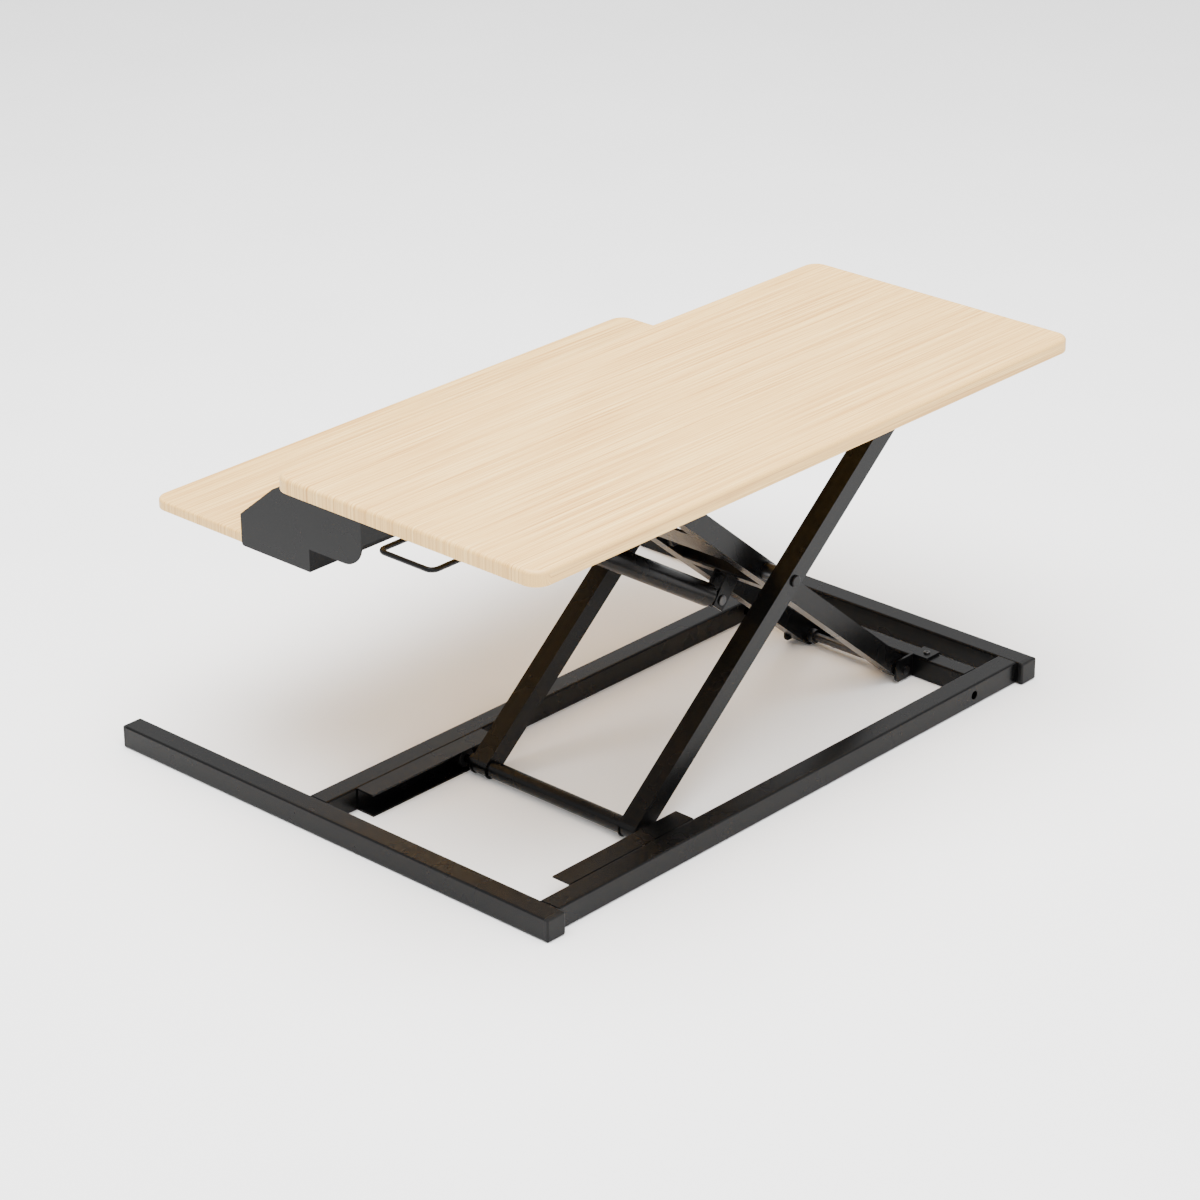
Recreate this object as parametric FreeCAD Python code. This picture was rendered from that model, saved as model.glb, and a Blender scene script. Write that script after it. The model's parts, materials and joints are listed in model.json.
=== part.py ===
import FreeCAD, Part
import math
import os

os.makedirs("parts", exist_ok=True)

V = FreeCAD.Vector

# Standing desk converter, in millimetres, +Z up, +X to the user's right and
# +Y away from the user.  While it is drawn, y = 0 is the desktop's front edge.

# Desktop
DESK_WIDTH = 914.0
DESK_DEPTH = 395.0
DESK_THICK = 18.0
DESK_CORNER = 20.0
DESK_TOP_ROUND = 5.0
DESK_UNDER_ROUND = 1.5

# Keyboard tray and the sheet brackets that hang it
TRAY_INSET = 55.5
TRAY_FRONT = -273.0
TRAY_REAR = -8.5
TRAY_THICK = 12.0
TRAY_DROP = 117.1
TRAY_CORNER = 20.0
SHEET = 2.0
FLANGE = 25.0
PLATE_FRONT = -118.0
PLATE_REAR = 77.5
RETURN_WIDTH = 78.0
BACK_PANEL_HEIGHT = 37.5

# Base of square tube
TUBE = 28.0
TUBE_WALL = 1.5
TUBE_CORNER = 2.5
FOOT_LENGTH = 688.7
FOOT_OVERHANG = 9.5
CAP_LENGTH = 6.0
BASE_INSET = 25.2
BASE_SHIFT = 14.9
RAIL_OFFSET = 179.65
HINGE_FROM_FOOT = 82.2
CROSS_TUBE_WIDTH = 25.0
CROSS_TUBE_CLEAR = 1.3

# Scissor arms
ARM = 25.0
ARM_WALL = 1.5
LOWER_HALF = 341.6
UPPER_HALF = 259.1
REST_ANGLE = 40.05
LOW_ANGLE = 13.05
HIGH_ANGLE = 43.05
OUTER_ARM_OFFSET = 115.7
PIVOT_GAP = 18.1

# Shafts, bolts and rollers
SHAFT_R = 5.5
BOLT_R = 6.0
PIN_R = 5.0
AXLE_R = 5.0
LOWER_ROD_R = 10.0
UPPER_ROD_R = 7.0
ROLLER_WIDTH = 16.0
CHANNEL_WIDTH = 26.0

# Gas spring
SPRING_R = 14.0
SPRING_BORE_R = 12.8
SPRING_ROD_R = 4.0
SPRING_PIN_R = 4.0
SPRING_PIN_ALONG = -48.8
SPRING_PIN_BELOW = -42.6
SPRING_TOP_SHIFT = 533.5
SPRING_TOP_DROP = 31.6
CYLINDER_START = 18.0
CYLINDER_END = 240.0
ROD_LENGTH = 210.0

# Release handle
WIRE_R = 3.0
HANDLE_DROP = 26.9
HANDLE_REACH = 5.5
HANDLE_ARM = 66.5
HANDLE_LENGTH = 80.0

# Clearances
RUN = 0.05
PRESS = 0.02
SIDE = 0.3
ROLLER_PLAY = 0.5

# Derived sizes
HALF_ARM = ARM / 2
HINGE_Z = max(TUBE / 2, HALF_ARM + 1.5)
PAD = 2.1
HINGE_DROP = HINGE_Z + PAD
CHANNEL_HEIGHT = 2 * HINGE_Z
ROLLER_R = HINGE_Z - SHEET - ROLLER_PLAY
MID_Y = 0.48 * DESK_DEPTH
INNER_ARM_OFFSET = OUTER_ARM_OFFSET - ARM - PIVOT_GAP
BASE_RIGHT = DESK_WIDTH / 2 - BASE_INSET + BASE_SHIFT
BASE_LEFT = -DESK_WIDTH / 2 + BASE_INSET + BASE_SHIFT
RAIL_LEFT = BASE_LEFT + TUBE
RAIL_RIGHT = BASE_RIGHT - TUBE
RAIL_INNER = MID_Y + RAIL_OFFSET - TUBE / 2
RAIL_OUTER = MID_Y + RAIL_OFFSET + TUBE / 2
FOOT_REAR = RAIL_OUTER + FOOT_OVERHANG
FOOT_FRONT = FOOT_REAR - FOOT_LENGTH
HINGE_X = RAIL_LEFT + HINGE_FROM_FOOT
CROSS_X1 = HINGE_X - HALF_ARM - CROSS_TUBE_CLEAR
CROSS_X0 = CROSS_X1 - CROSS_TUBE_WIDTH


def along(point, distance, degrees):
    """The (x, z) point reached from another at an angle above +X."""
    angle = math.radians(degrees)
    return (point[0] + distance * math.cos(angle), point[1] + distance * math.sin(angle))


HINGE = (HINGE_X, HINGE_Z)
PIVOT = along(HINGE, LOWER_HALF, REST_ANGLE)
LOW_ROLL = along(PIVOT, LOWER_HALF, -REST_ANGLE)
TOP_HINGE = along(PIVOT, UPPER_HALF, 180 - REST_ANGLE)
HIGH_ROLL = along(PIVOT, UPPER_HALF, REST_ANGLE)
UNDER = TOP_HINGE[1] + HINGE_DROP
PLATE_X = DESK_WIDTH / 2 - TRAY_INSET
TRAY_Z = UNDER - TRAY_DROP
PLATE_Z = TRAY_Z - SHEET
SPRING_LOW = along(along(PIVOT, SPRING_PIN_ALONG, REST_ANGLE), SPRING_PIN_BELOW, REST_ANGLE + 90)
SPRING_TOP = (TOP_HINGE[0] + SPRING_TOP_SHIFT, UNDER - SPRING_TOP_DROP)


def box(x0, x1, y0, y1, z0, z1):
    return Part.makeBox(x1 - x0, y1 - y0, z1 - z0, V(x0, y0, z0))


def rod_y(point, y0, y1, radius):
    return Part.makeCylinder(radius, y1 - y0, V(point[0], y0, point[1]), V(0, 1, 0))


def rod_z(x, y, z0, z1, radius):
    return Part.makeCylinder(radius, z1 - z0, V(x, y, z0))


def plate_xz(points, y0, y1):
    corners = [V(x, y0, z) for x, z in points]
    return Part.Face(Part.makePolygon(corners + corners[:1])).extrude(V(0, y1 - y0, 0))


def plate_yz(points, x0, x1):
    corners = [V(x0, y, z) for y, z in points]
    return Part.Face(Part.makePolygon(corners + corners[:1])).extrude(V(x1 - x0, 0, 0))


def front_of(shape):
    """The same piece at the other side of the mechanism's middle plane."""
    return shape.mirror(V(0, MID_Y, 0), V(0, 1, 0))


def left_of(shape):
    return shape.mirror(V(0, 0, 0), V(1, 0, 0))


def both_sides(shape):
    return Part.makeCompound([shape, front_of(shape)])


def tilted(shape, point, degrees):
    """Turn a piece drawn along +X about Y, then move its origin to a point."""
    turned = shape.copy()
    turned.rotate(V(0, 0, 0), V(0, 1, 0), -degrees)
    turned.translate(V(point[0], 0, point[1]))
    return turned


def drilled(shape, holes):
    for hole in holes:
        shape = shape.cut(hole)
    return shape


def fused(shapes):
    return shapes[0].fuse(shapes[1:]).removeSplitter()


def edges_in(shape, x=None, y=None, z=None):
    """Edges lying wholly at one x, y or z, within a tenth of a millimetre."""
    found = []
    for edge in shape.Edges:
        span = edge.BoundBox
        at_x = x is None or (abs(span.XMin - x) < 0.1 and abs(span.XMax - x) < 0.1)
        at_y = y is None or (abs(span.YMin - y) < 0.1 and abs(span.YMax - y) < 0.1)
        at_z = z is None or (abs(span.ZMin - z) < 0.1 and abs(span.ZMax - z) < 0.1)
        if at_x and at_y and at_z:
            found.append(edge)
    return found


def board(x0, x1, y0, y1, z0, z1, front_r, rear_r, top_r, under_r):
    """A board with rounded corners in plan and softened edges."""
    solid = box(x0, x1, y0, y1, z0, z1)
    for y, radius in ((y0, front_r), (y1, rear_r)):
        for x in (x0, x1):
            solid = solid.makeFillet(radius, edges_in(solid, x=x, y=y))
    solid = solid.makeFillet(top_r, edges_in(solid, z=z1))
    return solid.makeFillet(under_r, edges_in(solid, z=z0))


def tube_x(x0, x1, y0, y1, z0, z1):
    outer = box(x0, x1, y0, y1, z0, z1)
    for y in (y0, y1):
        for z in (z0, z1):
            outer = outer.makeFillet(TUBE_CORNER, edges_in(outer, y=y, z=z))
    wall = TUBE_WALL
    return outer.cut(box(x0 - 1, x1 + 1, y0 + wall, y1 - wall, z0 + wall, z1 - wall))


def tube_y(x0, x1, y0, y1, z0, z1):
    outer = box(x0, x1, y0, y1, z0, z1)
    for x in (x0, x1):
        for z in (z0, z1):
            outer = outer.makeFillet(TUBE_CORNER, edges_in(outer, x=x, z=z))
    wall = TUBE_WALL
    return outer.cut(box(x0 + wall, x1 - wall, y0 - 1, y1 + 1, z0 + wall, z1 - wall))


def channel(x0, x1, y0, y1, z0, z1):
    """A C-section along X whose web is at y1 and whose mouth is at y0."""
    return box(x0, x1, y0, y1, z0, z1).cut(
        box(x0 - 1, x1 + 1, y0 - 1, y1 - SHEET, z0 + SHEET, z1 - SHEET))


def arm(point, degrees, y0, y1, bores):
    """A square tube with rounded ends and a sleeve at each (distance, radius)."""
    length = bores[-1][0]
    body = fused([
        box(0, length, y0, y1, -HALF_ARM, HALF_ARM),
        rod_y((0, 0), y0, y1, HALF_ARM),
        rod_y((length, 0), y0, y1, HALF_ARM)])
    inside = HALF_ARM - ARM_WALL
    body = body.cut(box(-ARM, length + ARM, y0 + ARM_WALL, y1 - ARM_WALL, -inside, inside))
    for distance, radius in bores:
        body = body.fuse(rod_y((distance, 0), y0, y1, inside - 0.2))
    for distance, radius in bores:
        body = body.cut(rod_y((distance, 0), y0 - 1, y1 + 1, radius))
    return tilted(body, point, degrees)


def ring_y(point, y0, y1, outer_r, inner_r):
    return rod_y(point, y0, y1, outer_r).cut(rod_y(point, y0 - 1, y1 + 1, inner_r))


SCREW_R = 2.0
SCREW_HEAD_R = 4.0
SCREW_HEAD = 2.2
SCREW_GRIP = 10.0


def screw(x, y, face_z, sheet):
    """A pan-head screw driven upwards, its head under a sheet's lower face."""
    head = rod_z(x, y, face_z - SCREW_HEAD, face_z, SCREW_HEAD_R)
    head = head.makeFillet(1.0, edges_in(head, z=face_z - SCREW_HEAD)[:1])
    low = face_z - SCREW_HEAD
    head = head.cut(box(x - 2.2, x + 2.2, y - 0.5, y + 0.5, low - 1, low + 1))
    head = head.cut(box(x - 0.5, x + 0.5, y - 2.2, y + 2.2, low - 1, low + 1))
    return fused([head, rod_z(x, y, face_z - 0.5, face_z + sheet + SCREW_GRIP, SCREW_R)])


def screw_hole(x, y, face_z, sheet):
    return rod_z(x, y, face_z - 1, face_z + sheet + SCREW_GRIP + 0.5, SCREW_R + PRESS)


def bent_rod(points, bends, radius):
    """Round wire through points in one plane, with a bend radius at each corner."""
    edges = []
    start = points[0]
    for index in range(1, len(points) - 1):
        corner = points[index]
        bend = bends[index - 1]
        back = (points[index - 1] - corner).normalize()
        ahead = (points[index + 1] - corner).normalize()
        enter = corner + back * bend
        leave = corner + ahead * bend
        middle = corner + (back + ahead) * (bend * (1 - math.sqrt(0.5)))
        edges.append(Part.makeLine(start, enter))
        edges.append(Part.Arc(enter, middle, leave).toShape())
        start = leave
    edges.append(Part.makeLine(start, points[-1]))
    direction = points[1] - points[0]
    profile = Part.Wire([Part.makeCircle(radius, points[0], direction)])
    return Part.Wire(edges).makePipeShell([profile], True, False)


def hexagon(point, y0, y1, across):
    corner = across / math.sqrt(3)
    return plate_xz([along(point, corner, 60 * k) for k in range(6)], y0, y1)


nodes = {}

# Base: two feet, two rails and the tube that carries the hinge brackets
foot_y0 = FOOT_FRONT + CAP_LENGTH
foot_y1 = FOOT_REAR - CAP_LENGTH
nodes["foot_right"] = tube_y(BASE_RIGHT - TUBE, BASE_RIGHT, foot_y0, foot_y1, 0, TUBE)
nodes["foot_left"] = tube_y(BASE_LEFT, BASE_LEFT + TUBE, foot_y0, foot_y1, 0, TUBE)


def end_cap(x0):
    """A moulded plug for the front end of a foot."""
    whole = box(x0, x0 + TUBE, FOOT_FRONT, FOOT_FRONT + 4 * CAP_LENGTH, 0, TUBE)
    whole = whole.makeFillet(2.4, whole.Edges)
    head = whole.common(box(x0, x0 + TUBE, FOOT_FRONT, FOOT_FRONT + CAP_LENGTH, 0, TUBE))
    gap = TUBE_WALL + 0.1
    plug = box(x0 + gap, x0 + TUBE - gap, foot_y0 - 0.5, foot_y0 + 18, gap, TUBE - gap)
    return fused([head, plug])


foot_middle = V(0, (FOOT_FRONT + FOOT_REAR) / 2, 0)
caps = [end_cap(BASE_RIGHT - TUBE), end_cap(BASE_LEFT)]
nodes["foot_end_caps"] = Part.makeCompound(
    caps + [cap.mirror(foot_middle, V(0, 1, 0)) for cap in caps])

rail = tube_x(RAIL_LEFT, RAIL_RIGHT, RAIL_INNER, RAIL_OUTER, 0, TUBE)
rail = rail.cut(rod_y(HINGE, RAIL_INNER - 1, RAIL_OUTER + 1, SHAFT_R + PRESS))
nodes["rail_rear"] = rail
nodes["rail_front"] = front_of(rail)

bracket_y = MID_Y + INNER_ARM_OFFSET + HALF_ARM + 1.0
strap_screw = (CROSS_X0 + CROSS_TUBE_WIDTH / 2, bracket_y + 14)
strap_z = TUBE + 3


def downward(shape, z):
    return shape.mirror(V(0, 0, z), V(0, 0, 1))


strap_hole = downward(screw_hole(strap_screw[0], strap_screw[1], strap_z, 0), strap_z)
nodes["hinge_cross_tube"] = drilled(
    tube_y(CROSS_X0, CROSS_X1, 2 * MID_Y - RAIL_INNER, RAIL_INNER, 0, TUBE),
    [strap_hole, front_of(strap_hole)])

channel_x0 = along(HINGE, 2 * LOWER_HALF * math.cos(math.radians(HIGH_ANGLE)), 0)[0] - ROLLER_R - 10
channel_x1 = along(HINGE, 2 * LOWER_HALF * math.cos(math.radians(LOW_ANGLE)), 0)[0] + ROLLER_R + 2
lower_channel = channel(channel_x0, channel_x1, RAIL_INNER - CHANNEL_WIDTH, RAIL_INNER, 0, CHANNEL_HEIGHT)
nodes["lower_channel_rear"] = lower_channel
nodes["lower_channel_front"] = front_of(lower_channel)

ear = box(CROSS_X1, HINGE_X + 18.7, bracket_y, bracket_y + 3, 3, strap_z)
for z in (3, strap_z):
    ear = ear.makeFillet(6, edges_in(ear, x=HINGE_X + 18.7, z=z))
strap = box(CROSS_X0, CROSS_X1, bracket_y, bracket_y + 24, TUBE, strap_z)
hinge_bracket = fused([ear, strap])
hinge_bracket = drilled(hinge_bracket, [
    rod_y(HINGE, bracket_y - 1, bracket_y + 4, SHAFT_R + PRESS), strap_hole])
nodes["hinge_bracket_rear"] = hinge_bracket
nodes["hinge_bracket_front"] = front_of(hinge_bracket)
nodes["hinge_bracket_screws"] = both_sides(
    downward(screw(strap_screw[0], strap_screw[1], strap_z, 0), strap_z))

nodes["hinge_shaft"] = rod_y(HINGE, 2 * MID_Y - bracket_y - 5, bracket_y + 5, SHAFT_R)
collar_y = MID_Y + INNER_ARM_OFFSET - HALF_ARM - SIDE
nodes["shaft_collars"] = both_sides(ring_y(HINGE, collar_y - 8, collar_y, 9, SHAFT_R + PRESS))

# Inner pair of arms: hinged to the base, rolling under the desktop
inner_y0 = MID_Y + INNER_ARM_OFFSET - HALF_ARM
inner_y1 = MID_Y + INNER_ARM_OFFSET + HALF_ARM
full_length = LOWER_HALF + UPPER_HALF
inner_arm = arm(HINGE, REST_ANGLE, inner_y0, inner_y1, [
    (0, SHAFT_R + RUN), (LOWER_HALF, BOLT_R + RUN), (full_length, UPPER_ROD_R + PRESS)])
nodes["inner_arm_rear"] = inner_arm
nodes["inner_arm_front"] = front_of(inner_arm)

upper_mouth = MID_Y + INNER_ARM_OFFSET + HALF_ARM + 4.3
upper_web = upper_mouth + CHANNEL_WIDTH
upper_roller_y = upper_mouth + 5
rod_end = upper_web - SHEET - 1.5
nodes["upper_slide_rod"] = fused([
    rod_y(HIGH_ROLL, 2 * MID_Y - inner_y1 - 2, inner_y1 + 2, UPPER_ROD_R),
    rod_y(HIGH_ROLL, 2 * MID_Y - rod_end, rod_end, AXLE_R)])

front_inner_face = 2 * MID_Y - inner_y0
nodes["inner_cross_plate"] = tilted(
    box(44, 126, front_inner_face, inner_y0, -HALF_ARM, -HALF_ARM + 3), PIVOT, REST_ANGLE)

beam_x0 = SPRING_PIN_ALONG - HALF_ARM
beam_x1 = SPRING_PIN_ALONG + HALF_ARM
nodes["spring_cross_tube"] = tilted(
    tube_y(beam_x0, beam_x1, front_inner_face, inner_y0, -HALF_ARM, HALF_ARM), PIVOT, REST_ANGLE)

# Two lug plates hang from the cross tube and hold the spring's lower pin
LUG_IN = 7.0
LUG_OUT = 10.0
lug_end = SPRING_PIN_BELOW - 11
lug = plate_xz([
    (beam_x0, -HALF_ARM), (beam_x1, -HALF_ARM), (SPRING_PIN_ALONG + 10, lug_end),
    (SPRING_PIN_ALONG - 10, lug_end)], MID_Y + LUG_IN, MID_Y + LUG_OUT)
lug = lug.cut(rod_y((SPRING_PIN_ALONG, SPRING_PIN_BELOW), MID_Y, MID_Y + 20, SPRING_PIN_R + PRESS))
nodes["spring_lugs"] = both_sides(tilted(lug, PIVOT, REST_ANGLE))


def spring_pin(point):
    return fused([
        rod_y(point, MID_Y - LUG_OUT - 2, MID_Y + LUG_OUT + 2, SPRING_PIN_R),
        rod_y(point, MID_Y + LUG_OUT, MID_Y + LUG_OUT + 2, SPRING_PIN_R + 2),
        rod_y(point, MID_Y - LUG_OUT - 2, MID_Y - LUG_OUT, SPRING_PIN_R + 2)])


nodes["spring_lower_pin"] = spring_pin(SPRING_LOW)

# Outer pair of arms: hinged to the desktop, rolling in the base
outer_y0 = MID_Y + OUTER_ARM_OFFSET - HALF_ARM
outer_y1 = MID_Y + OUTER_ARM_OFFSET + HALF_ARM
outer_arm = arm(LOW_ROLL, 180 - REST_ANGLE, outer_y0, outer_y1, [
    (0, LOWER_ROD_R + PRESS), (LOWER_HALF, BOLT_R + PRESS), (full_length, PIN_R + RUN)])
nodes["outer_arm_rear"] = outer_arm
nodes["outer_arm_front"] = front_of(outer_arm)

axle_end = RAIL_INNER - SHEET - 1.0
nodes["lower_slide_rod"] = fused([
    rod_y(LOW_ROLL, 2 * MID_Y - outer_y1 - 6.2, outer_y1 + 6.2, LOWER_ROD_R),
    rod_y(LOW_ROLL, 2 * MID_Y - axle_end, axle_end, AXLE_R)])

nut_y = inner_y0 - SIDE
bolt = fused([
    rod_y(PIVOT, outer_y1, outer_y1 + 3, 7),
    rod_y(PIVOT, nut_y - 10, outer_y1, BOLT_R)])
bolt = bolt.makeFillet(1.2, edges_in(bolt, y=outer_y1 + 3)[:1])
nodes["pivot_bolts"] = both_sides(bolt)
nodes["pivot_spacers"] = both_sides(ring_y(PIVOT, inner_y1 + SIDE, outer_y0, 10, BOLT_R + PRESS))
nodes["pivot_nuts"] = both_sides(
    hexagon(PIVOT, nut_y - 8, nut_y, 18).cut(rod_y(PIVOT, nut_y - 9, nut_y + 1, BOLT_R + PRESS)))


def roller(point, y0):
    wheel = ring_y(point, y0, y0 + ROLLER_WIDTH, ROLLER_R, AXLE_R + RUN)
    for y in (y0, y0 + ROLLER_WIDTH):
        rims = [e for e in edges_in(wheel, y=y) if e.BoundBox.XLength > 2 * ROLLER_R - 1]
        wheel = wheel.makeFillet(1.0, rims)
    return wheel


lower_roller = roller(LOW_ROLL, RAIL_INNER - SHEET - 3 - ROLLER_WIDTH)
nodes["lower_roller_rear"] = lower_roller
nodes["lower_roller_front"] = front_of(lower_roller)
upper_roller = roller(HIGH_ROLL, upper_roller_y)
nodes["upper_roller_rear"] = upper_roller
nodes["upper_roller_front"] = front_of(upper_roller)

# Hardware under the desktop
desk_screws = []


def held(shape, places, face_z, sheet):
    """Drill a piece for its screws and note them for the desktop."""
    for x, y in places:
        shape = shape.cut(screw_hole(x, y, face_z, sheet))
        desk_screws.append((x, y, face_z, sheet))
    return shape


def other_side(places):
    return [(x, 2 * MID_Y - y) for x, y in places]


track_x0 = TOP_HINGE[0] + 2 * UPPER_HALF * math.cos(math.radians(HIGH_ANGLE)) - ROLLER_R - 4
track_x1 = TOP_HINGE[0] + 2 * UPPER_HALF * math.cos(math.radians(LOW_ANGLE)) + ROLLER_R + 10
track = fused([
    channel(track_x0, track_x1, upper_mouth, upper_web, UNDER - PAD - CHANNEL_HEIGHT, UNDER - PAD),
    box(track_x0, track_x1, upper_mouth, upper_web + 14, UNDER - PAD, UNDER)])
track_places = [(track_x0 + 16, upper_web + 8), (track_x1 - 16, upper_web + 8)]
nodes["upper_channel_rear"] = held(track, track_places, UNDER - PAD, PAD)
nodes["upper_channel_front"] = held(
    front_of(track), other_side(track_places), UNDER - PAD, PAD)

seat = 2.5
ears = []
for ear_y in (outer_y0 - 0.4 - 3, outer_y1 + 0.4):
    ears.append(box(TOP_HINGE[0] - 12, TOP_HINGE[0] + 12, ear_y, ear_y + 3, TOP_HINGE[1], UNDER - seat))
    ears.append(rod_y(TOP_HINGE, ear_y, ear_y + 3, 12))
top_bracket = fused(ears + [
    box(TOP_HINGE[0] - 28, TOP_HINGE[0] + 28, outer_y0 - 3.4, outer_y1 + 16, UNDER - seat, UNDER)])
top_bracket = top_bracket.cut(rod_y(TOP_HINGE, outer_y0 - 5, outer_y1 + 5, PIN_R + PRESS))
top_places = [(TOP_HINGE[0] - 20, outer_y1 + 9.5), (TOP_HINGE[0] + 20, outer_y1 + 9.5)]
nodes["top_hinge_bracket_rear"] = held(top_bracket, top_places, UNDER - seat, seat)
nodes["top_hinge_bracket_front"] = held(
    front_of(top_bracket), other_side(top_places), UNDER - seat, seat)
nodes["top_hinge_pins"] = both_sides(fused([
    rod_y(TOP_HINGE, outer_y0 - 5.4, outer_y1 + 3.4, PIN_R),
    rod_y(TOP_HINGE, outer_y1 + 3.4, outer_y1 + 5.4, PIN_R + 2.5),
    rod_y(TOP_HINGE, outer_y0 - 5.4, outer_y0 - 3.4, PIN_R + 2.5)]))

hanger = fused([
    box(SPRING_TOP[0] - 10, SPRING_TOP[0] + 10, MID_Y + LUG_IN, MID_Y + LUG_OUT,
        SPRING_TOP[1] - 8, UNDER - seat),
    box(SPRING_TOP[0] - 10, SPRING_TOP[0] + 10, MID_Y - LUG_OUT, MID_Y - LUG_IN,
        SPRING_TOP[1] - 8, UNDER - seat),
    box(SPRING_TOP[0] - 34, SPRING_TOP[0] + 34, MID_Y - LUG_OUT, MID_Y + LUG_OUT, UNDER - seat, UNDER)])
hanger = hanger.cut(rod_y(SPRING_TOP, MID_Y - 20, MID_Y + 20, SPRING_PIN_R + PRESS))
nodes["spring_top_bracket"] = held(
    hanger, [(SPRING_TOP[0] - 26, MID_Y), (SPRING_TOP[0] + 26, MID_Y)], UNDER - seat, seat)
nodes["spring_top_pin"] = spring_pin(SPRING_TOP)

# Gas spring, drawn along +X from its lower pin and then turned to its line
span_x = SPRING_TOP[0] - SPRING_LOW[0]
span_z = SPRING_TOP[1] - SPRING_LOW[1]
spring_length = math.hypot(span_x, span_z)
spring_angle = math.degrees(math.atan2(span_z, span_x))


def rod_x(x0, x1, radius):
    return Part.makeCylinder(radius, x1 - x0, V(x0, MID_Y, 0), V(1, 0, 0))


sleeve = rod_x(CYLINDER_START, CYLINDER_END, SPRING_R)
sleeve = sleeve.cut(rod_x(CYLINDER_START + 4, CYLINDER_END + 1, SPRING_BORE_R))
cylinder = sleeve.fuse(rod_x(4, CYLINDER_START + 2, 6))
cylinder = cylinder.fuse(rod_y((0, 0), MID_Y - 6, MID_Y + 6, 9))
cylinder = cylinder.cut(rod_y((0, 0), MID_Y - 20, MID_Y + 20, SPRING_PIN_R + RUN))
nodes["gas_cylinder"] = tilted(cylinder, SPRING_LOW, spring_angle)
piston_rod = fused([
    rod_x(spring_length - ROD_LENGTH, spring_length, SPRING_ROD_R),
    rod_y((spring_length, 0), MID_Y - 6, MID_Y + 6, 8)])
piston_rod = piston_rod.cut(
    rod_y((spring_length, 0), MID_Y - 20, MID_Y + 20, SPRING_PIN_R + RUN))
nodes["gas_rod"] = tilted(piston_rod, SPRING_LOW, spring_angle)

# Release handle: a loop of round wire on two small brackets
bar_x = DESK_WIDTH / 2 - HANDLE_REACH
pin_x = bar_x - HANDLE_ARM
handle_z = UNDER - HANDLE_DROP
leg_y0 = MID_Y - 31.6
leg_y1 = leg_y0 + HANDLE_LENGTH
pin_reach = 10.5
loop = [(pin_x, leg_y0 - pin_reach), (pin_x, leg_y0), (bar_x, leg_y0),
        (bar_x, leg_y1), (pin_x, leg_y1), (pin_x, leg_y1 + pin_reach)]
nodes["release_handle"] = bent_rod([V(x, y, handle_z) for x, y in loop], [4.5, 9, 9, 4.5], WIRE_R)

handle_brackets = []
for plate_y, tab_y0 in ((leg_y0 - 8.5, leg_y0 - 24), (leg_y1 + 5.5, leg_y1 + 5.5)):
    piece = fused([
        box(pin_x - 10, pin_x + 10, plate_y, plate_y + 3, handle_z - 8, UNDER),
        box(pin_x - 10, pin_x + 10, tab_y0, tab_y0 + 18.5, UNDER - seat, UNDER)])
    piece = piece.cut(rod_y((pin_x, handle_z), plate_y - 1, plate_y + 4, WIRE_R + RUN))
    screw_y = leg_y0 - 16.5 if plate_y < MID_Y else leg_y1 + 16.5
    handle_brackets.append(held(piece, [(pin_x, screw_y)], UNDER - seat, seat))
nodes["handle_brackets"] = Part.makeCompound(handle_brackets)

# Sheet brackets that carry the keyboard tray
side_plate = plate_yz([
    (PLATE_FRONT, PLATE_Z), (PLATE_FRONT, UNDER - 80.6), (-62.4, UNDER - 35.1), (0, UNDER),
    (PLATE_REAR, UNDER), (PLATE_REAR, UNDER - 91.3), (TRAY_REAR + SHEET, UNDER - 91.3),
    (TRAY_REAR + SHEET, PLATE_Z)], PLATE_X - SHEET, PLATE_X)
side_plate = side_plate.makeFillet(28, edges_in(side_plate, y=PLATE_REAR, z=UNDER - 91.3))
side_plate = side_plate.makeFillet(4, edges_in(side_plate, y=PLATE_FRONT, z=PLATE_Z))
inner_x = PLATE_X - SHEET
tray_bracket = fused([
    side_plate,
    box(inner_x - FLANGE, inner_x, PLATE_FRONT + 4, TRAY_REAR, PLATE_Z, TRAY_Z),
    box(inner_x - FLANGE, inner_x, 0, PLATE_REAR, UNDER - SHEET, UNDER),
    box(inner_x - RETURN_WIDTH, inner_x, PLATE_REAR - SHEET, PLATE_REAR, UNDER - 63.3, UNDER)])
flange_x = inner_x - FLANGE / 2
desk_places = [(flange_x, y) for y in (14, 38, 62)]
tray_places = [(flange_x, y) for y in (-100, -62, -24)]
tray_bracket = held(tray_bracket, desk_places, UNDER - SHEET, SHEET)
for x, y in tray_places:
    tray_bracket = tray_bracket.cut(screw_hole(x, y, PLATE_Z, SHEET))
for x, y in desk_places:
    desk_screws.append((-x, y, UNDER - SHEET, SHEET))
nodes["tray_bracket_right"] = tray_bracket
nodes["tray_bracket_left"] = left_of(tray_bracket)
nodes["tray_back_panel"] = box(-inner_x, inner_x, TRAY_REAR, TRAY_REAR + SHEET,
                               PLATE_Z, PLATE_Z + BACK_PANEL_HEIGHT)

tray_screws = [(side * x, y, PLATE_Z, SHEET) for side in (1, -1) for x, y in tray_places]
tray = board(-inner_x, inner_x, TRAY_FRONT, TRAY_REAR, TRAY_Z, TRAY_Z + TRAY_THICK,
             TRAY_CORNER, 2, 3, 1)
nodes["keyboard_tray"] = drilled(tray, [screw_hole(*place) for place in tray_screws])
nodes["tray_screws"] = Part.makeCompound([screw(*place) for place in tray_screws])

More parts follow.
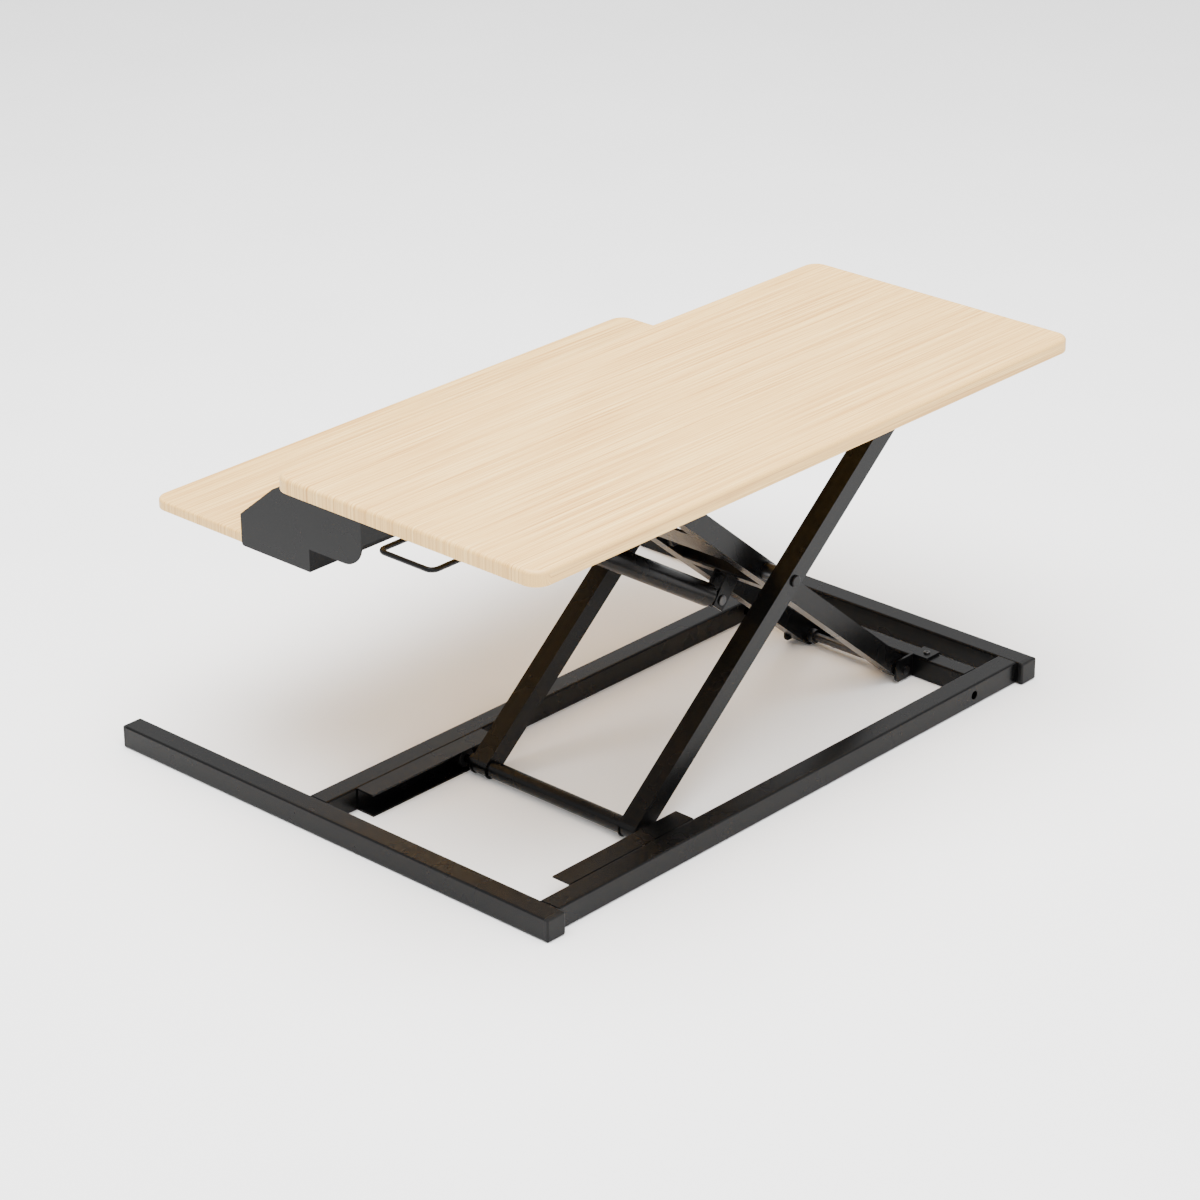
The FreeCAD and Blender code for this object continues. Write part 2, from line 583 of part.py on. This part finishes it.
desktop = board(-DESK_WIDTH / 2, DESK_WIDTH / 2, 0, DESK_DEPTH, UNDER, UNDER + DESK_THICK,
                DESK_CORNER, DESK_CORNER, DESK_TOP_ROUND, DESK_UNDER_ROUND)
nodes["desktop_board"] = drilled(desktop, [screw_hole(*place) for place in desk_screws])
nodes["desktop_screws"] = Part.makeCompound([screw(*place) for place in desk_screws])

# The origin goes to the middle of the whole outline, on the floor
middle_y = (min(FOOT_FRONT, TRAY_FRONT) + max(DESK_DEPTH, FOOT_REAR)) / 2
for name, shape in nodes.items():
    placed = shape.copy()
    placed.translate(V(0, -middle_y, 0))
    placed.exportStep("parts/" + name + ".step")
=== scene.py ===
import json
import math

import bpy
from mathutils import Matrix, Vector


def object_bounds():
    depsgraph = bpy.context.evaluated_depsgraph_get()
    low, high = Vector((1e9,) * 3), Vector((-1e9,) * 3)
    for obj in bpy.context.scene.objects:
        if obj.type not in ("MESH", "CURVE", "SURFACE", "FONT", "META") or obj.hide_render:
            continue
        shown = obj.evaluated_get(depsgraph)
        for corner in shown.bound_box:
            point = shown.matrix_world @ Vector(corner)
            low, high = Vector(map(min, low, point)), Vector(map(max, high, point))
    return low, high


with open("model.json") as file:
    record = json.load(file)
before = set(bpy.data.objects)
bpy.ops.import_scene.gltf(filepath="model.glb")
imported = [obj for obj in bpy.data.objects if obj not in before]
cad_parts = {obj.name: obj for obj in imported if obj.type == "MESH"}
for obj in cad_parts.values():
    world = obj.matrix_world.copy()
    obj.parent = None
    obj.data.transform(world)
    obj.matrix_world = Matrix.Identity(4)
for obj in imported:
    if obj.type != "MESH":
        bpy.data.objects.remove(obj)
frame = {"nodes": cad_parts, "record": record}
cad_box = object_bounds()

MM = 0.001

# Camera: where it stands round the object, its lens, and its small roll
CAMERA_AT = Vector((2.9002, 2.7043, 1.9791))
CAMERA_AZIMUTH = 132.92
CAMERA_ELEVATION = 24.85
CAMERA_ROLL = -0.47
CAMERA_LENS = 110.67
SENSOR = 36.0

# Studio: the floor's size and drop below the feet, the sky, and two square lamps
FLOOR_HALF_WIDTH = 12.0
FLOOR_DROP = 0.3 * MM
SKY_STRENGTH = 1.3
KEY_AT, KEY_SIZE, KEY_POWER = (0.3, 0.2, 3.4), 3.2, 420
REAR_AT, REAR_SIZE, REAR_POWER = (1.2, 3.4, 2.6), 2.4, 60


class Nodes:
    """A new material's node tree, with short calls that add and join nodes."""

    def __init__(self, name):
        self.material = bpy.data.materials.new(name)
        self.material.use_nodes = True
        self.tree = self.material.node_tree
        self.tree.nodes.clear()
        self.shader = self.add("ShaderNodeBsdfPrincipled")
        output = self.add("ShaderNodeOutputMaterial")
        self.join(self.shader, "BSDF", output, "Surface")

    def add(self, kind, **settings):
        node = self.tree.nodes.new(kind)
        for name, value in settings.items():
            setattr(node, name, value)
        return node

    def join(self, source, out, target, into):
        self.tree.links.new(source.outputs[out], target.inputs[into])

    def math(self, operation, first, second=None):
        """A Math node; each input is a number or a (node, output) pair."""
        node = self.add("ShaderNodeMath", operation=operation)
        for index, value in enumerate((first, second)):
            if isinstance(value, tuple):
                self.join(value[0], value[1], node, index)
            elif value is not None:
                node.inputs[index].default_value = value
        return node, "Value"

    def noise(self, vector, scale, detail=2.0, roughness=0.5):
        node = self.add("ShaderNodeTexNoise")
        self.join(vector[0], vector[1], node, "Vector")
        node.inputs["Scale"].default_value = scale
        node.inputs["Detail"].default_value = detail
        node.inputs["Roughness"].default_value = roughness
        return node, "Fac"

    def ramp(self, source, stops):
        """Colours blended along a value; stops are (place, colour) pairs."""
        node = self.add("ShaderNodeValToRGB")
        self.join(source[0], source[1], node, "Fac")
        elements = node.color_ramp.elements
        while len(elements) < len(stops):
            elements.new(0.5)
        for element, (place, colour) in zip(elements, stops):
            element.position = place
            element.color = (*colour, 1.0)
        return node, "Color"

    def mix(self, mode, amount, first, second):
        """Two colours mixed; amount is a number or a (node, output) pair."""
        node = self.add("ShaderNodeMix", data_type="RGBA", blend_type=mode)
        if isinstance(amount, tuple):
            self.join(amount[0], amount[1], node, 0)
        else:
            node.inputs[0].default_value = amount
        self.join(first[0], first[1], node, 6)
        self.join(second[0], second[1], node, 7)
        return node, 2

    def bump(self, height, strength, distance):
        node = self.add("ShaderNodeBump")
        self.join(height[0], height[1], node, "Height")
        node.inputs["Strength"].default_value = strength
        node.inputs["Distance"].default_value = distance
        self.join(node, "Normal", self.shader, "Normal")

    def roughness(self, source, low, high):
        spread = self.add("ShaderNodeMapRange")
        self.join(source[0], source[1], spread, "Value")
        spread.inputs["To Min"].default_value = low
        spread.inputs["To Max"].default_value = high
        self.join(spread, "Result", self.shader, "Roughness")

    def stretched(self, vector, scale):
        node = self.add("ShaderNodeVectorMath", operation="MULTIPLY")
        self.join(vector[0], vector[1], node, 0)
        node.inputs[1].default_value = scale
        return node, "Vector"

    def object_place(self):
        return self.add("ShaderNodeTexCoord"), "Object"


def wood_laminate():
    """Pale laminate: long fine grain along X that wraps down over the edges."""
    n = Nodes("wood_laminate_look")
    place = n.add("ShaderNodeSeparateXYZ")
    source = n.object_place()
    n.join(source[0], source[1], place, "Vector")
    facing = n.add("ShaderNodeSeparateXYZ")
    n.join(n.add("ShaderNodeNewGeometry"), "Normal", facing, "Vector")
    toward_rear = n.math("ABSOLUTE", (facing, "Y"))
    dropped = n.math("MULTIPLY", (place, "Z"), toward_rear)
    across = n.math("ADD", (place, "Y"), dropped)
    grain = n.add("ShaderNodeCombineXYZ")
    n.join(place, "X", grain, "X")
    n.join(across[0], across[1], grain, "Y")
    grain_place = (grain, "Vector")

    fibres = n.noise(n.stretched(grain_place, (5, 700, 1)), 1.0, 5.0, 0.62)
    streaks = n.noise(n.stretched(grain_place, (2.2, 260, 1)), 1.0, 3.0, 0.55)
    bands = n.noise(n.stretched(grain_place, (0.8, 40, 1)), 1.0, 2.0, 0.5)
    pores = n.noise(n.stretched(grain_place, (26, 1050, 1)), 1.0, 2.0, 0.5)

    base = n.ramp(fibres, [
        (0.28, (0.50, 0.25, 0.060)), (0.45, (0.76, 0.46, 0.140)),
        (0.58, (0.88, 0.59, 0.215)), (0.75, (0.95, 0.70, 0.30))])
    streak_tone = n.ramp(streaks, [(0.36, (0.74, 0.62, 0.46)), (0.55, (1, 1, 1))])
    band_tone = n.ramp(bands, [(0.35, (0.95, 0.93, 0.89)), (0.65, (1.0, 1.0, 1.0))])
    pore_tone = n.ramp(pores, [(0.30, (0.78, 0.68, 0.55)), (0.40, (1, 1, 1))])
    colour = n.mix("MULTIPLY", 0.8, base, streak_tone)
    colour = n.mix("MULTIPLY", 1.0, colour, band_tone)
    colour = n.mix("MULTIPLY", 0.55, colour, pore_tone)
    n.join(colour[0], colour[1], n.shader, "Base Color")
    n.roughness(fibres, 0.36, 0.52)
    n.bump(fibres, 0.25, 0.10 * MM)
    return n.material


def powder_coat():
    """Black paint: fine orange peel, with patches of slightly different tone and gloss."""
    n = Nodes("black_steel_look")
    place = n.object_place()
    peel = n.noise(place, 900.0, 2.0, 0.5)
    patches = n.noise(place, 14.0, 3.0, 0.6)
    tone = n.ramp(patches, [(0.3, (0.0018, 0.0018, 0.0019)), (0.7, (0.0026, 0.0026, 0.0027))])
    n.join(tone[0], tone[1], n.shader, "Base Color")
    n.roughness(patches, 0.24, 0.30)
    n.bump(peel, 0.10, 0.04 * MM)
    n.shader.inputs["Specular IOR Level"].default_value = 0.14
    return n.material


def moulded_plastic():
    """Black nylon: a fine spark-eroded texture and uneven sheen."""
    n = Nodes("black_plastic_look")
    place = n.object_place()
    texture = n.noise(place, 2200.0, 3.0, 0.6)
    flow = n.noise(place, 60.0, 2.0, 0.5)
    tone = n.ramp(flow, [(0.3, (0.0022, 0.0022, 0.0022)), (0.7, (0.0032, 0.0032, 0.0033))])
    n.join(tone[0], tone[1], n.shader, "Base Color")
    n.roughness(texture, 0.42, 0.62)
    n.bump(texture, 0.3, 0.05 * MM)
    n.shader.inputs["Specular IOR Level"].default_value = 0.18
    return n.material


def plated_steel():
    """Black zinc plate on turned steel, with fine machining marks along Y."""
    n = Nodes("plated_steel_look")
    place = n.object_place()
    marks = n.noise(n.stretched(place, (300, 2600, 300)), 1.0, 3.0, 0.6)
    stain = n.noise(place, 90.0, 3.0, 0.6)
    tone = n.ramp(stain, [(0.3, (0.045, 0.045, 0.05)), (0.7, (0.09, 0.088, 0.085))])
    n.join(tone[0], tone[1], n.shader, "Base Color")
    n.roughness(marks, 0.26, 0.42)
    n.bump(marks, 0.2, 0.03 * MM)
    n.shader.inputs["Metallic"].default_value = 1.0
    return n.material


def chromed_rod():
    """Hard chrome on the piston rod, with faint polishing rings."""
    n = Nodes("chromed_rod_look")
    place = n.object_place()
    rings = n.noise(n.stretched(place, (1400, 120, 1400)), 1.0, 2.0, 0.5)
    tone = n.ramp(rings, [(0.3, (0.52, 0.52, 0.54)), (0.7, (0.66, 0.66, 0.68))])
    n.join(tone[0], tone[1], n.shader, "Base Color")
    n.roughness(rings, 0.08, 0.18)
    n.shader.inputs["Metallic"].default_value = 1.0
    return n.material


def paint_nodes():
    """Give every CAD node the look that its material slot names."""
    looks = {
        "wood_laminate": wood_laminate(), "black_steel": powder_coat(),
        "black_plastic": moulded_plastic(), "plated_steel": plated_steel(),
        "chromed_rod": chromed_rod()}
    for part in frame["record"]["subparts"]:
        mesh = frame["nodes"][part["node"]].data
        mesh.materials.clear()
        mesh.materials.append(looks[part["material_slot"]])


def floor_look():
    """A pale matt studio floor."""
    n = Nodes("studio_floor_look")
    speckle = n.noise(n.object_place(), 3.0, 2.0, 0.5)
    tone = n.ramp(speckle, [(0.3, (0.92, 0.92, 0.92)), (0.7, (0.95, 0.95, 0.95))])
    n.join(tone[0], tone[1], n.shader, "Base Color")
    n.shader.inputs["Roughness"].default_value = 0.9
    n.shader.inputs["Specular IOR Level"].default_value = 0.1
    return n.material


def studio_floor(half_width):
    mesh = bpy.data.meshes.new("studio_floor")
    signs = ((-1, -1), (1, -1), (1, 1), (-1, 1))
    corners = [(x * half_width, y * half_width, -FLOOR_DROP) for x, y in signs]
    mesh.from_pydata(corners, [], [(0, 1, 2, 3)])
    floor = bpy.data.objects.new("studio_floor", mesh)
    bpy.context.scene.collection.objects.link(floor)
    mesh.materials.append(floor_look())


def soft_light(name, at, size, power):
    """A large square lamp that points at the middle of the object."""
    lamp = bpy.data.lights.new(name, "AREA")
    lamp.shape = "SQUARE"
    lamp.size = size
    lamp.energy = power
    holder = bpy.data.objects.new(name, lamp)
    bpy.context.scene.collection.objects.link(holder)
    low, high = cad_box
    middle = (low + high) / 2
    holder.location = at
    holder.rotation_mode = "QUATERNION"
    holder.rotation_quaternion = (middle - Vector(at)).to_track_quat("-Z", "Y")


def studio():
    studio_floor(FLOOR_HALF_WIDTH)
    world = bpy.data.worlds.new("studio_world")
    world.use_nodes = True
    background = world.node_tree.nodes["Background"]
    background.inputs["Color"].default_value = (1.0, 1.0, 1.0, 1.0)
    background.inputs["Strength"].default_value = SKY_STRENGTH
    bpy.context.scene.world = world
    soft_light("key_light", KEY_AT, KEY_SIZE, KEY_POWER)
    soft_light("rear_light", REAR_AT, REAR_SIZE, REAR_POWER)


def photo_camera():
    azimuth = math.radians(CAMERA_AZIMUTH)
    elevation = math.radians(CAMERA_ELEVATION)
    roll = math.radians(CAMERA_ROLL)
    back = Vector((math.sin(azimuth) * math.cos(elevation),
                   -math.cos(azimuth) * math.cos(elevation), math.sin(elevation)))
    level = Vector((math.cos(azimuth), math.sin(azimuth), 0))
    upright = back.cross(level)
    right = level * math.cos(roll) + upright * math.sin(roll)
    up = upright * math.cos(roll) - level * math.sin(roll)
    lens = bpy.data.cameras.new("photo_camera")
    lens.lens = CAMERA_LENS
    lens.sensor_width = SENSOR
    lens.clip_start = 0.1
    lens.clip_end = 60.0
    camera = bpy.data.objects.new("photo_camera", lens)
    bpy.context.scene.collection.objects.link(camera)
    turn = Matrix((right, up, back)).transposed()
    camera.matrix_world = Matrix.Translation(CAMERA_AT) @ turn.to_4x4()
    bpy.context.scene.camera = camera


photo_camera()
paint_nodes()
studio()
